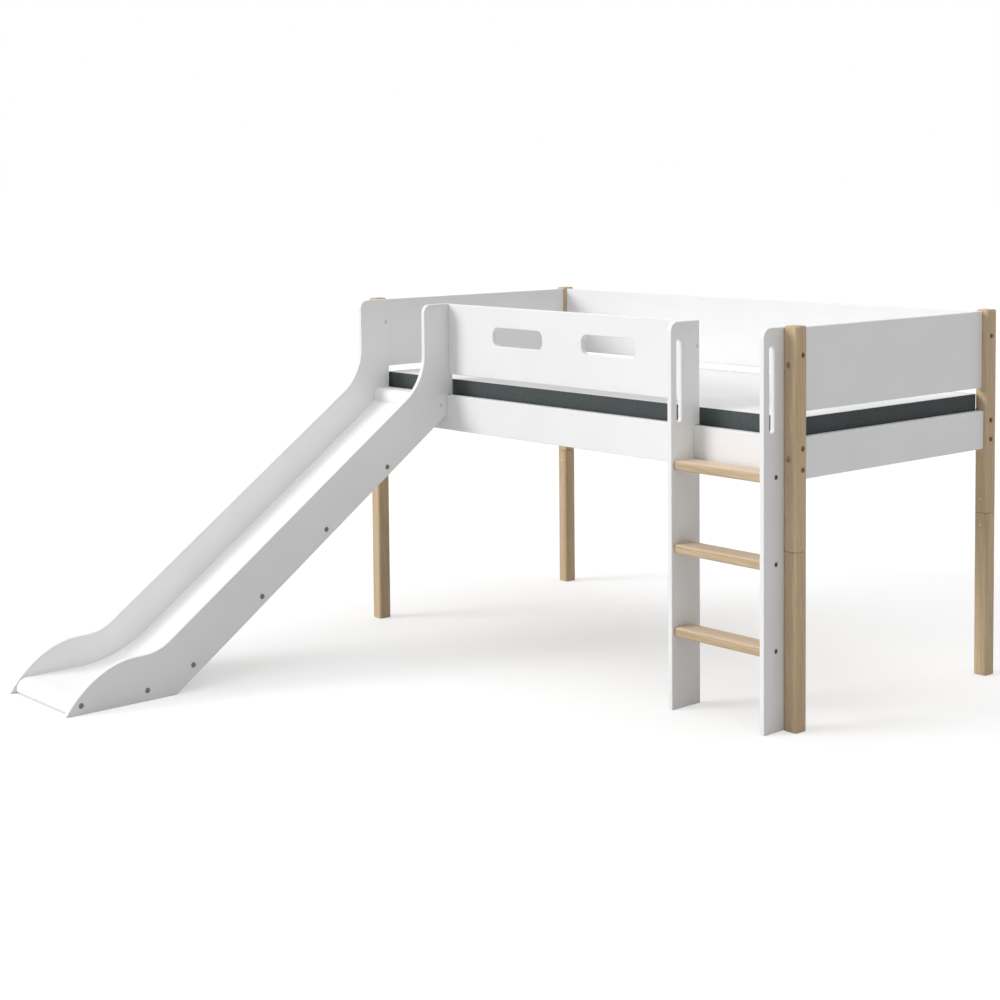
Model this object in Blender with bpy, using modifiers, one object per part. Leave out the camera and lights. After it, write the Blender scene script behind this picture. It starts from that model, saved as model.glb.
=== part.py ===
"""Loft bed with a slide and a ladder, in metres, standing on the floor with +Z up.

+X runs along the bed from the slide's end to the ladder's end. -Y is the long side
that the slide and the ladder leave by. The origin is on the floor, under the middle
of the whole footprint, the slide included.
"""

import math

import bmesh
import bpy
from mathutils import Matrix, Vector
from mathutils.geometry import interpolate_bezier

# Whole bed
BED_LENGTH = 2.085
BED_WIDTH = 1.000
BED_HEIGHT = 1.208
# Gap between two pieces that touch
CONTACT = 0.0003
# How far a cutter runs past the face that it cuts
OVERRUN = 0.002
# Points closer than this are one point
MERGE = 0.00001

# Posts, each on a leg that makes up the bed's height, with a dowel in the joint
POST_SIZE = 0.050
POST_LENGTH = 0.668
POST_EDGE = 0.008
DOWEL_RADIUS = 0.010
DOWEL_LENGTH = 0.100
DOWEL_PLAY = 0.0003
DOWEL_CHAMFER = 0.0015

# White boards and rails, down from the post tops. Their inner faces lie in one plane
# on each side of the bed, set in from the posts' outer faces.
INNER_FACE = 0.041
BOARD_THICKNESS = 0.018
BOARD_EDGE = 0.0025
BOARD_DROP = 0.006
BOARD_HEIGHT = 0.250
BOARD_TO_RAIL = 0.075
RAIL_THICKNESS = 0.026
RAIL_HEIGHT = 0.125

# Hand holes of the front guard
HAND_HOLE_LENGTH = 0.255
HAND_HOLE_HEIGHT = 0.065
HAND_HOLE_RADIUS = 0.025
HAND_HOLE_SPACING = 0.450
HAND_HOLE_DROP = 0.071

# Slats and the ledges that carry them
LEDGE_WIDTH = 0.022
LEDGE_HEIGHT = 0.030
SLAT_COUNT = 12
SLAT_WIDTH = 0.090
SLAT_THICKNESS = 0.018
SLAT_END_MARGIN = 0.012
SLAT_EDGE = 0.003

# Mattress, as long as the space inside the boards and as wide as between the posts
MATTRESS_CLEARANCE = 0.0015
MATTRESS_THICKNESS = 0.127
MATTRESS_CROWN = 0.004
MATTRESS_CORNER = 0.012
MATTRESS_EDGE = 0.005
MATTRESS_WAIST = 0.003
INNER_CORNER_SHARE = 0.4

# Sides of the ladder and of the slide, boards on edge that stand off the front
SIDE_THICKNESS = 0.018
SIDE_FORWARD = 0.085
SIDE_DROP = 0.004
SIDE_CORNER = 0.030
SIDE_EDGE = 0.0025

# Ladder, measured over its sides. The pitch is the step from the floor up.
LADDER_WIDTH = 0.3935
RUNG_COUNT = 3
RUNG_PITCH = 0.259
RUNG_DEPTH = 0.080
RUNG_HEIGHT = 0.029
RUNG_SETBACK = 0.0095
RUNG_EDGE = 0.007
GRIP_DROP = 0.053
GRIP_LENGTH = 0.257
GRIP_WIDTH = 0.0225
GRIP_SETBACK = 0.036

# Slide, measured over its sides, and its outline seen from the side. The shares place
# the two handles of the nose's curve along its length and height.
SLIDE_WIDTH = 0.3935
SLIDE_REACH = 1.500
SLIDE_FOOT = 0.389
SLIDE_SIDE_DEPTH = 0.159
SLIDE_HUMP_HEIGHT = 0.1485
SLIDE_HUMP_RADIUS = 0.165
SLIDE_HUMP_FLAT = 0.022
SLIDE_THROAT_RADIUS = 0.195
NOSE_START_SHARES = (0.157, 0.39)
NOSE_CREST_SHARE = 0.516

# Slide bed, a bent sheet between the sides. Its depth is square-on above the sides'
# straight undersides, and its drop is below the rail's top.
SLIDE_BED_DEPTH = 0.045
SLIDE_BED_DROP = 0.014
SLIDE_BED_THICKNESS = 0.010
SLIDE_BED_FOOT = 0.0475
SLIDE_BED_RADIUS = 0.450
SLIDE_LIP_SETBACK = 0.018
SLIDE_LIP_RADIUS = 0.040
SLIDE_LIP_BOTTOM = 0.006

# Nosing over the top of the slide bed
NOSING_DEPTH = 0.0455
NOSING_DROP = 0.0005
NOSING_RADIUS = 0.028

# Battens under the slide bed. Each share is a place along the bed from its top, and
# one more batten stands behind the lip, a little under the bed.
BATTEN_WIDTH = 0.030
BATTEN_THICKNESS = 0.018
BATTEN_EDGE = 0.003
BATTEN_SHARES = (0.191, 0.373, 0.555, 0.737, 0.834)
TOE_BATTEN_SETBACK = 0.060
TOE_BATTEN_DROP = 0.0055

# Bolts that hold the boards and rails to the posts
BOLT_HEAD_RADIUS = 0.0074
BOLT_HEAD_HEIGHT = 0.0040
BOLT_HEAD_CHAMFER = 0.0008
BOLT_SINK = 0.0020
BOLT_SHANK_RADIUS = 0.0030
BOLT_SOCKET_RADIUS = 0.0037
BOLT_SOCKET_DEPTH = 0.0026
BOLT_PLAY = 0.0004
BOLT_GRIP = 0.040
SIDE_BOLT_SHARE = 0.67
BOLT_INSET = 0.030
BOARD_BOLT_DROP = 0.080
END_BOARD_BOLT_DROP = 0.110
RAIL_BOLT_SPREAD = 0.063

# Roundness of the mesh
ARC_STEP = math.radians(9)
BED_ARC_STEP = math.radians(3)
GRIP_ARC_STEP = math.radians(22.5)
SOFT_ARC_STEP = math.radians(15)
SIDE_ARC_STEP = math.radians(6)
NOSE_POINTS = 12
HOLE_SIDES = 12
DOWEL_SIDES = 16
BOLT_SIDES = 16
SOCKET_SIDES = 6
SMOOTH_ANGLE = math.radians(30)
SOFT_ANGLE = math.radians(60)

# Places that follow from the sizes above
post_x = BED_LENGTH / 2
leg_height = BED_HEIGHT - POST_LENGTH
front_y = (SLIDE_REACH - BED_WIDTH) / 2
back_y = front_y + BED_WIDTH
middle_y = (front_y + back_y) / 2
between_posts_x = post_x - POST_SIZE
board_top = BED_HEIGHT - BOARD_DROP
board_bottom = board_top - BOARD_HEIGHT
rail_top = board_bottom - BOARD_TO_RAIL
rail_bottom = rail_top - RAIL_HEIGHT
side_top = BED_HEIGHT - SIDE_DROP
inner_front_y = front_y + INNER_FACE
inner_back_y = back_y - INNER_FACE
inner_x = post_x - INNER_FACE
rail_front_y = inner_front_y - RAIL_THICKNESS
side_front_y = front_y - SIDE_FORWARD
slide_left_x = -between_posts_x + CONTACT
slide_right_x = slide_left_x + SLIDE_WIDTH
ladder_right_x = between_posts_x - CONTACT
ladder_left_x = ladder_right_x - LADDER_WIDTH
ledge_top = rail_bottom + LEDGE_HEIGHT
slat_bottom = ledge_top + CONTACT
slat_top = slat_bottom + SLAT_THICKNESS
slide_tip_y = front_y - SLIDE_REACH
slide_heel_y = slide_tip_y + SLIDE_FOOT
slide_run = rail_front_y - slide_heel_y
slide_climb = rail_top - SLIDE_BED_DROP
slide_slope = math.acos(SLIDE_BED_DEPTH / math.hypot(slide_run, slide_climb)) - math.atan2(
    slide_run, slide_climb
)
slide_rise = math.tan(slide_slope)
X_AXIS = Vector((1, 0, 0))
Y_AXIS = Vector((0, 1, 0))
Z_AXIS = Vector((0, 0, 1))


def new_collection(name):
    collection = bpy.data.collections.new(name)
    bpy.context.scene.collection.children.link(collection)
    return collection


def new_material(name, colour, roughness, metallic=0.0):
    material = bpy.data.materials.new(name)
    material.use_nodes = True
    shader = material.node_tree.nodes["Principled BSDF"]
    shader.inputs["Base Color"].default_value = (*colour, 1.0)
    shader.inputs["Roughness"].default_value = roughness
    shader.inputs["Metallic"].default_value = metallic
    return material


for old in list(bpy.data.objects):
    bpy.data.objects.remove(old)
parts = new_collection("loft_bed_with_slide")
cutters = new_collection("cutters")

OAK = new_material("oak", (0.46, 0.32, 0.18), 0.5)
RUNG_OAK = new_material("rung_oak", (0.60, 0.44, 0.27), 0.5)
LACQUER = new_material("white_lacquer", (0.87, 0.87, 0.86), 0.35)
PINE = new_material("slat_pine", (0.72, 0.56, 0.36), 0.6)
TICKING = new_material("mattress_fabric", (0.62, 0.62, 0.60), 0.9)
BRONZE = new_material("dark_bronze", (0.07, 0.05, 0.04), 0.4, 1.0)
BEECH = new_material("dowel_beech", (0.65, 0.48, 0.30), 0.6)


def add_part(name, mesh, material, smooth_angle=None):
    """A named object in the bed's collection, with its own material."""
    obj = bpy.data.objects.new(name, mesh)
    parts.objects.link(obj)
    mesh.materials.clear()
    mesh.materials.append(material)
    if smooth_angle is not None:
        mesh.shade_smooth()
        mesh.set_sharp_from_angle(angle=smooth_angle)
    return obj


def add_cutter(name, mesh):
    obj = bpy.data.objects.new(name, mesh)
    cutters.objects.link(obj)
    obj.display_type = "WIRE"
    obj.hide_render = True
    return obj


def cut(obj, cutter):
    boolean = obj.modifiers.new(cutter.name, "BOOLEAN")
    boolean.operation = "DIFFERENCE"
    boolean.solver = "EXACT"
    boolean.object = cutter


def mesh_from(bm, name):
    mesh = bpy.data.meshes.new(name)
    bm.to_mesh(mesh)
    bm.free()
    return mesh


def round_edges(obj, radius, segments):
    """Bevels the edges that carry a bevel weight."""
    bevel = obj.modifiers.new("rounded_edges", "BEVEL")
    bevel.limit_method = "WEIGHT"
    bevel.width = radius
    bevel.segments = segments


def runs_along(edge, axis):
    direction = (edge.verts[1].co - edge.verts[0].co).normalized()
    return direction.cross(axis).length < MERGE


def box(name, low, high, material, axis, radius, segments=2, round_top=False):
    """A box whose edges along one axis are rounded, and its top rim too if asked."""
    low, high = Vector(low), Vector(high)
    bm = bmesh.new()
    bmesh.ops.create_cube(bm, size=1)
    bmesh.ops.scale(bm, vec=high - low, verts=bm.verts)
    weight = bm.edges.layers.float.new("bevel_weight_edge")
    for edge in bm.edges:
        on_top = round_top and all(vert.co.z > 0 for vert in edge.verts)
        if runs_along(edge, axis) or on_top:
            edge[weight] = 1
    obj = add_part(name, mesh_from(bm, name), material)
    obj.location = (low + high) / 2
    round_edges(obj, radius, segments)
    return obj


def rounded(corners, step=ARC_STEP):
    """Points of a closed outline. Each corner is (u, v, radius), and an arc replaces it."""
    points = []
    for index, (u, v, radius) in enumerate(corners):
        corner = Vector((u, v))
        before = Vector(corners[index - 1][:2]) - corner
        after = Vector(corners[(index + 1) % len(corners)][:2]) - corner
        if radius == 0:
            points.append(corner)
            continue
        points += corner_arc(corner, before.normalized(), after.normalized(), radius, step)
    return [
        point for i, point in enumerate(points) if (point - points[i - 1]).length > MERGE
    ]


def corner_arc(corner, before, after, radius, step):
    """Points of the arc that is tangent to both sides of a corner."""
    half = before.angle(after) / 2
    centre = corner + (before + after).normalized() * (radius / math.sin(half))
    tangent = radius / math.tan(half)
    start = corner + before * tangent - centre
    turn = math.pi - 2 * half
    side = 1 if before.x * after.y - before.y * after.x < 0 else -1
    count = max(2, math.ceil(turn / step))
    return [
        centre + Matrix.Rotation(side * turn * i / count, 2) @ start
        for i in range(count + 1)
    ]


def plate(name, outline, holes, thickness, middle, normal_axis, material, radius=0.0):
    """A flat board cut to an outline, with its rims rounded.

    The outline's points are (Y, Z) for a board that faces X, and (X, Z) for one that
    faces Y. middle is the board's place along that axis.
    """
    curve = bpy.data.curves.new(name, "CURVE")
    curve.dimensions = "2D"
    curve.fill_mode = "BOTH"
    curve.extrude = thickness / 2
    for points in (outline, *holes):
        spline = curve.splines.new("POLY")
        spline.points.add(len(points) - 1)
        for point, (u, v) in zip(spline.points, points):
            point.co = (u, v, 0, 1)
        spline.use_cyclic_u = True
    flat = bpy.data.objects.new(name, curve)
    parts.objects.link(flat)
    if normal_axis == "X":
        upright = Matrix((Y_AXIS, Z_AXIS, X_AXIS)).transposed().to_4x4()
        flat.matrix_world = Matrix.Translation(X_AXIS * middle) @ upright
    else:
        upright = Matrix((X_AXIS, Z_AXIS, -Y_AXIS)).transposed().to_4x4()
        flat.matrix_world = Matrix.Translation(Y_AXIS * middle) @ upright
    bpy.context.view_layer.update()
    graph = bpy.context.evaluated_depsgraph_get()
    mesh = bpy.data.meshes.new_from_object(flat.evaluated_get(graph))
    place = flat.matrix_world.copy()
    bpy.data.objects.remove(flat)
    bpy.data.curves.remove(curve)

    bm = bmesh.new()
    bm.from_mesh(mesh)
    bmesh.ops.remove_doubles(bm, verts=bm.verts, dist=MERGE)
    weight = bm.edges.layers.float.new("bevel_weight_edge")
    for edge in bm.edges:
        facing = [abs(face.normal.z) > 0.5 for face in edge.link_faces]
        edge[weight] = 1.0 if facing.count(True) == 1 else 0.0
    bm.to_mesh(mesh)
    bm.free()
    obj = add_part(name, mesh, material)
    obj.matrix_world = place
    if radius:
        round_edges(obj, radius, 2)
    return obj


def cylinder_mesh(name, radius, length, sides, chamfer=0.0):
    """A cylinder along Z about the origin, with its two rims chamfered if asked."""
    bm = bmesh.new()
    bmesh.ops.create_cone(
        bm, cap_ends=True, segments=sides, radius1=radius, radius2=radius, depth=length
    )
    if chamfer:
        rims = [edge for edge in bm.edges if not runs_along(edge, Z_AXIS)]
        bmesh.ops.bevel(bm, geom=rims, offset=chamfer, segments=1, affect="EDGES")
    return mesh_from(bm, name)


def turned(name, profile, sides):
    """The mesh of a profile of (radius, height) points, top to bottom, turned about Z."""
    mesh = bpy.data.meshes.new(name)
    points = [(radius, 0, height) for radius, height in profile]
    mesh.from_pydata(points, [(i, i + 1) for i in range(len(points) - 1)], [])
    blank = bpy.data.objects.new(name, mesh)
    parts.objects.link(blank)
    screw = blank.modifiers.new("turn", "SCREW")
    screw.steps = sides
    screw.render_steps = sides
    screw.use_merge_vertices = True
    screw.merge_threshold = MERGE
    return blank


def solid_mesh(blank):
    """The evaluated mesh of an object that was only made for it, which is removed."""
    bpy.context.view_layer.update()
    graph = bpy.context.evaluated_depsgraph_get()
    mesh = bpy.data.meshes.new_from_object(blank.evaluated_get(graph))
    bpy.data.objects.remove(blank)
    return mesh


def make_posts():
    """Four posts and the four legs under them, by the names of their corners."""
    posts = {}
    hole = cylinder_mesh(
        "dowel_hole", DOWEL_RADIUS + DOWEL_PLAY, DOWEL_LENGTH + 2 * DOWEL_PLAY, DOWEL_SIDES
    )
    pin = cylinder_mesh(
        "leg_dowel", DOWEL_RADIUS, DOWEL_LENGTH, DOWEL_SIDES, DOWEL_CHAMFER
    )
    for side, x in (("left", -1), ("right", 1)):
        for face, y in (("front", front_y), ("back", back_y - POST_SIZE)):
            corner = f"{face}_{side}"
            left = x * (post_x - POST_SIZE / 2) - POST_SIZE / 2
            foot = (left, y, 0)
            joint = (left + POST_SIZE, y + POST_SIZE, leg_height - CONTACT)
            leg = box(f"leg_{corner}", foot, joint, OAK, Z_AXIS, POST_EDGE, 3)
            base = (left, y, leg_height)
            top = (left + POST_SIZE, y + POST_SIZE, BED_HEIGHT)
            post = box(f"post_{corner}", base, top, OAK, Z_AXIS, POST_EDGE, 3, round_top=True)
            middle = (left + POST_SIZE / 2, y + POST_SIZE / 2, leg_height)
            cutter = add_cutter(f"dowel_hole_{corner}", hole)
            cutter.location = middle
            cut(leg, cutter)
            cut(post, cutter)
            dowel = add_part(f"leg_dowel_{corner}", pin, BEECH, SMOOTH_ANGLE)
            dowel.location = middle
            posts[corner] = post
    return posts


def make_rails():
    """Four rails round the mattress, in the plane under the boards."""
    long_x = between_posts_x - CONTACT
    end_front_y = front_y + POST_SIZE + CONTACT
    end_back_y = back_y - POST_SIZE - CONTACT
    outer_x = inner_x + RAIL_THICKNESS
    spans = {
        "rail_front": (-long_x, long_x, rail_front_y, inner_front_y),
        "rail_back": (-long_x, long_x, inner_back_y, inner_back_y + RAIL_THICKNESS),
        "rail_left": (-outer_x, -inner_x, end_front_y, end_back_y),
        "rail_right": (inner_x, outer_x, end_front_y, end_back_y),
    }
    rails = {}
    for name, (x0, x1, y0, y1) in spans.items():
        axis = X_AXIS if name in ("rail_front", "rail_back") else Y_AXIS
        rails[name] = box(
            name, (x0, y0, rail_bottom), (x1, y1, rail_top), LACQUER, axis, BOARD_EDGE
        )
    return rails


def make_boards():
    """The back board and the two end boards, upright over the rails."""
    long_x = between_posts_x - CONTACT
    end_front_y = front_y + POST_SIZE + CONTACT
    end_back_y = back_y - POST_SIZE - CONTACT
    outer_x = inner_x + BOARD_THICKNESS
    spans = {
        "back_board": (-long_x, long_x, inner_back_y, inner_back_y + BOARD_THICKNESS),
        "end_board_left": (-outer_x, -inner_x, end_front_y, end_back_y),
        "end_board_right": (inner_x, outer_x, end_front_y, end_back_y),
    }
    boards = {}
    for name, (x0, x1, y0, y1) in spans.items():
        axis = X_AXIS if name == "back_board" else Y_AXIS
        boards[name] = box(
            name, (x0, y0, board_bottom), (x1, y1, board_top), LACQUER, axis, BOARD_EDGE
        )
    return boards


def make_guard():
    """The front guard, from the slide to the ladder, with its two hand holes."""
    left = slide_right_x + CONTACT
    right = ladder_left_x - CONTACT
    middle_x = (left + right) / 2
    outline = rounded([
        (left, board_bottom, 0),
        (right, board_bottom, 0),
        (right, board_top, 0),
        (left, board_top, 0),
    ])
    holes = []
    for side in (-1, 1):
        hole_x = middle_x + side * HAND_HOLE_SPACING / 2
        x0, x1 = hole_x - HAND_HOLE_LENGTH / 2, hole_x + HAND_HOLE_LENGTH / 2
        z1 = board_top - HAND_HOLE_DROP
        z0 = z1 - HAND_HOLE_HEIGHT
        corners = ((x0, z0), (x1, z0), (x1, z1), (x0, z1))
        holes.append(rounded([(x, z, HAND_HOLE_RADIUS) for x, z in corners]))
    board_y = inner_front_y - BOARD_THICKNESS / 2
    plate("guard_board", outline, holes, BOARD_THICKNESS, board_y, "Y", LACQUER, BOARD_EDGE)


def make_slats():
    """A ledge inside each long rail, and the slats that lie across them."""
    long_x = between_posts_x - CONTACT
    front = inner_front_y + CONTACT
    back = inner_back_y - CONTACT
    for name, y0, y1 in (
        ("slat_ledge_front", front, front + LEDGE_WIDTH),
        ("slat_ledge_back", back - LEDGE_WIDTH, back),
    ):
        low = (-long_x, y0, rail_bottom)
        high = (long_x, y1, ledge_top)
        box(name, low, high, PINE, X_AXIS, SLAT_EDGE, 1)
    first_x = -long_x + SLAT_END_MARGIN
    pitch = (-2 * first_x - SLAT_WIDTH) / (SLAT_COUNT - 1)
    for index in range(SLAT_COUNT):
        x = first_x + index * pitch
        low = (x, front, slat_bottom)
        high = (x + SLAT_WIDTH, back, slat_top)
        box(f"slat_{index + 1:02d}", low, high, PINE, Y_AXIS, SLAT_EDGE, 1)


def rounded_rectangle(length, width, radius):
    """Points of a rounded rectangle about the origin, the same number for any size."""
    half_x, half_y = length / 2, width / 2
    corners = ((half_x, half_y), (-half_x, half_y), (-half_x, -half_y), (half_x, -half_y))
    return rounded([(x, y, radius) for x, y in corners], SOFT_ARC_STEP)


def make_mattress():
    """A padded slab: rounded corners and rims, a drawn-in border and a crowned top."""
    length = 2 * (inner_x - MATTRESS_CLEARANCE)
    width = BED_WIDTH - 2 * (POST_SIZE + MATTRESS_CLEARANCE)
    soft = MATTRESS_EDGE
    turns = [math.radians(angle) for angle in (0, 30, 60, 90)]
    rim = [(soft * (1 - math.sin(turn)), soft * (1 - math.cos(turn))) for turn in turns]
    waist_shares = ((0.3, 0.8), (0.5, 1.0), (0.7, 0.8))
    waist = [(inset * MATTRESS_WAIST, up * MATTRESS_THICKNESS) for up, inset in waist_shares]
    crown_shares = ((0.10, 0.4), (0.25, 0.75), (0.50, 0.95), (0.80, 1.0))
    crown = [
        (soft + inset * (width / 2 - soft), MATTRESS_THICKNESS + up * MATTRESS_CROWN)
        for inset, up in crown_shares
    ]
    upper_rim = [(inset, MATTRESS_THICKNESS - up) for inset, up in reversed(rim)]
    rings = rim + waist + upper_rim + crown
    bm = bmesh.new()
    loops = []
    for inset, height in rings:
        radius = max(MATTRESS_CORNER - inset, MATTRESS_CORNER * INNER_CORNER_SHARE)
        points = rounded_rectangle(length - 2 * inset, width - 2 * inset, radius)
        loops.append([bm.verts.new((x, y, height)) for x, y in points])
    count = len(loops[0])
    for lower, upper in zip(loops, loops[1:]):
        for i in range(count):
            j = (i + 1) % count
            bm.faces.new((lower[i], lower[j], upper[j], upper[i]))
    bm.faces.new(loops[-1])
    bm.faces.new(reversed(loops[0]))
    bmesh.ops.recalc_face_normals(bm, faces=bm.faces)
    mattress = add_part("mattress", mesh_from(bm, "mattress"), TICKING, SOFT_ANGLE)
    mattress.location = (0, middle_y, slat_top + CONTACT)


def ladder_side_outline():
    """The ladder side seen from +X, notched round the front rail."""
    notch_y = rail_front_y - CONTACT
    return rounded([
        (side_front_y, 0, 0),
        (inner_front_y, 0, 0),
        (inner_front_y, rail_bottom - CONTACT, 0),
        (notch_y, rail_bottom - CONTACT, 0),
        (notch_y, rail_top + CONTACT, 0),
        (inner_front_y, rail_top + CONTACT, 0),
        (inner_front_y, side_top, 0),
        (side_front_y, side_top, SIDE_CORNER),
    ])


def make_ladder():
    """Two notched sides with grip slots, and the rungs between them."""
    half = GRIP_WIDTH / 2
    y0 = side_front_y + GRIP_SETBACK - half
    y1 = y0 + GRIP_WIDTH
    z1 = side_top - GRIP_DROP
    z0 = z1 - GRIP_LENGTH
    corners = ((y0, z0), (y1, z0), (y1, z1), (y0, z1))
    grip = rounded([(y, z, half) for y, z in corners], GRIP_ARC_STEP)
    sides = {}
    for name, x in (
        ("ladder_side_left", ladder_left_x + SIDE_THICKNESS / 2),
        ("ladder_side_right", ladder_right_x - SIDE_THICKNESS / 2),
    ):
        sides[name] = plate(
            name, ladder_side_outline(), [grip], SIDE_THICKNESS, x, "X", LACQUER, SIDE_EDGE
        )
    x0 = ladder_left_x + SIDE_THICKNESS + CONTACT
    x1 = ladder_right_x - SIDE_THICKNESS - CONTACT
    y0 = side_front_y + RUNG_SETBACK
    for index in range(RUNG_COUNT):
        top = (index + 1) * RUNG_PITCH
        low = (x0, y0, top - RUNG_HEIGHT)
        high = (x1, y0 + RUNG_DEPTH, top)
        box(f"rung_{index + 1}", low, high, RUNG_OAK, X_AXIS, RUNG_EDGE, 3)
    return sides


def slide_line(y, above):
    """Height at y of the line that is square-on above the slide's underside."""
    return (y - slide_heel_y) * slide_rise + above / math.cos(slide_slope)


def slide_side_outline():
    """The slide side seen from +X: foot, nose, hump, slope, throat and upright head."""
    over_heel = SLIDE_SIDE_DEPTH / math.cos(slide_slope)
    hump_end_y = slide_heel_y + (SLIDE_HUMP_HEIGHT - over_heel) / slide_rise
    hump_arc = SLIDE_HUMP_RADIUS * math.tan(slide_slope / 2)
    nose_top_y = hump_end_y - hump_arc - SLIDE_HUMP_FLAT
    nose_length = nose_top_y - slide_tip_y
    start_y, start_z = NOSE_START_SHARES
    nose = interpolate_bezier(
        Vector((slide_tip_y, 0)),
        Vector((slide_tip_y + start_y * nose_length, start_z * SLIDE_HUMP_HEIGHT)),
        Vector((slide_tip_y + NOSE_CREST_SHARE * nose_length, SLIDE_HUMP_HEIGHT)),
        Vector((nose_top_y, SLIDE_HUMP_HEIGHT)),
        NOSE_POINTS,
    )
    stop_y = rail_front_y - CONTACT
    rest_z = rail_top + CONTACT
    corners = [
        (hump_end_y, SLIDE_HUMP_HEIGHT, SLIDE_HUMP_RADIUS),
        (side_front_y, slide_line(side_front_y, SLIDE_SIDE_DEPTH), SLIDE_THROAT_RADIUS),
        (side_front_y, side_top, SIDE_CORNER),
        (inner_front_y, side_top, 0),
        (inner_front_y, rest_z, 0),
        (stop_y, rest_z, 0),
        (stop_y, slide_line(stop_y, 0), 0),
        (slide_heel_y, 0, 0),
        (slide_tip_y, 0, 0),
        (nose_top_y, SLIDE_HUMP_HEIGHT, 0),
    ]
    outline = rounded(corners, SIDE_ARC_STEP)
    return outline[:-2] + [Vector((point.x, point.y)) for point in nose]


def slide_bed_path():
    """Points of the bed's upper face seen from +X, from its top end to its lip."""
    top_y = rail_front_y - CONTACT - SLIDE_BED_THICKNESS * math.sin(slide_slope)
    bend_y = slide_heel_y + (
        SLIDE_BED_FOOT - SLIDE_BED_DEPTH / math.cos(slide_slope)
    ) / slide_rise
    lip_y = slide_tip_y + SLIDE_LIP_SETBACK
    corners = [
        (top_y, slide_line(top_y, SLIDE_BED_DEPTH), 0),
        (bend_y, SLIDE_BED_FOOT, SLIDE_BED_RADIUS),
        (lip_y, SLIDE_BED_FOOT, SLIDE_LIP_RADIUS),
        (lip_y, SLIDE_LIP_BOTTOM, 0),
    ]
    return rounded(corners, BED_ARC_STEP)


def place_along(path, share):
    """The point at a share of a path's length, and the path's direction there."""
    lengths = [(b - a).length for a, b in zip(path, path[1:])]
    wanted = share * sum(lengths)
    for start, end, length in zip(path, path[1:], lengths):
        if wanted <= length:
            return start.lerp(end, wanted / length), (end - start).normalized()
        wanted -= length
    return path[-1], (path[-1] - path[-2]).normalized()


def make_slide_bed(x0, x1):
    """The bent sheet: its upper face as a strip, given its thickness downwards."""
    path = slide_bed_path()
    bm = bmesh.new()
    left = [bm.verts.new((x0, y, z)) for y, z in path]
    edges = [bm.edges.new(pair) for pair in zip(left, left[1:])]
    grown = bmesh.ops.extrude_edge_only(bm, edges=edges)["geom"]
    new_verts = [item for item in grown if isinstance(item, bmesh.types.BMVert)]
    bmesh.ops.translate(bm, vec=X_AXIS * (x1 - x0), verts=new_verts)
    bm.normal_update()
    bm.faces.ensure_lookup_table()
    if bm.faces[0].normal.z < 0:
        bmesh.ops.reverse_faces(bm, faces=bm.faces)
    sheet = add_part("slide_bed", mesh_from(bm, "slide_bed"), LACQUER, SMOOTH_ANGLE)
    wall = sheet.modifiers.new("thickness", "SOLIDIFY")
    wall.thickness = SLIDE_BED_THICKNESS
    wall.offset = -1
    wall.use_even_offset = True


def make_battens(x0, x1):
    """Cross battens, flat against the bed's underside, and a lower one behind its lip."""
    path = slide_bed_path()
    last = Vector((slide_tip_y + TOE_BATTEN_SETBACK, SLIDE_BED_FOOT - TOE_BATTEN_DROP))
    places = [place_along(path, share) for share in BATTEN_SHARES]
    places.append((last, Vector((-1, 0))))
    for index, (point, direction) in enumerate(places):
        down = Vector((-direction.y, direction.x))
        if down.y > 0:
            down = -down
        centre = point + down * (SLIDE_BED_THICKNESS + CONTACT + BATTEN_THICKNESS / 2)
        half = Vector(((x1 - x0) / 2, BATTEN_WIDTH / 2, BATTEN_THICKNESS / 2))
        name = f"slide_batten_{index + 1}"
        batten = box(name, -half, half, PINE, X_AXIS, BATTEN_EDGE, 1)
        batten.location = ((x0 + x1) / 2, centre.x, centre.y)
        batten.rotation_euler.x = math.atan2(-direction.y, -direction.x)


def make_slide():
    """Two sides hooked over the front rail, the bed between them and its battens."""
    sides = {}
    for name, x in (
        ("slide_side_left", slide_left_x + SIDE_THICKNESS / 2),
        ("slide_side_right", slide_right_x - SIDE_THICKNESS / 2),
    ):
        sides[name] = plate(
            name, slide_side_outline(), [], SIDE_THICKNESS, x, "X", LACQUER, SIDE_EDGE
        )
    x0 = slide_left_x + SIDE_THICKNESS + CONTACT
    x1 = slide_right_x - SIDE_THICKNESS - CONTACT
    make_slide_bed(x0, x1)
    make_battens(x0, x1)

    back = rail_front_y - CONTACT
    front = rail_front_y - NOSING_DEPTH
    top = rail_top - NOSING_DROP
    clear = SLIDE_BED_DEPTH + CONTACT
    outline = rounded([
        (front, slide_line(front, clear), 0),
        (back, slide_line(back, clear), 0),
        (back, top, 0),
        (front, top, NOSING_RADIUS),
    ])
    plate("slide_nosing", outline, [], x1 - x0, (x0 + x1) / 2, "X", LACQUER)
    return sides


def bolt_mesh(grip):
    """A bolt along -Z with its head's face at the origin and a hex socket in it."""
    length = POST_SIZE - BOLT_SINK + grip
    head, rim = BOLT_HEAD_RADIUS, BOLT_HEAD_RADIUS - BOLT_HEAD_CHAMFER
    blank = turned("bolt_blank", [
        (0, 0),
        (rim, 0),
        (head, -BOLT_HEAD_CHAMFER),
        (head, -BOLT_HEAD_HEIGHT),
        (BOLT_SHANK_RADIUS, -BOLT_HEAD_HEIGHT),
        (BOLT_SHANK_RADIUS, -length),
        (0, -length),
    ], BOLT_SIDES)
    socket = cylinder_mesh(
        "bolt_socket", BOLT_SOCKET_RADIUS, 2 * BOLT_SOCKET_DEPTH, SOCKET_SIDES
    )
    cutter = add_cutter("bolt_socket", socket)
    cut(blank, cutter)
    mesh = solid_mesh(blank)
    bpy.data.objects.remove(cutter)
    return mesh


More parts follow.
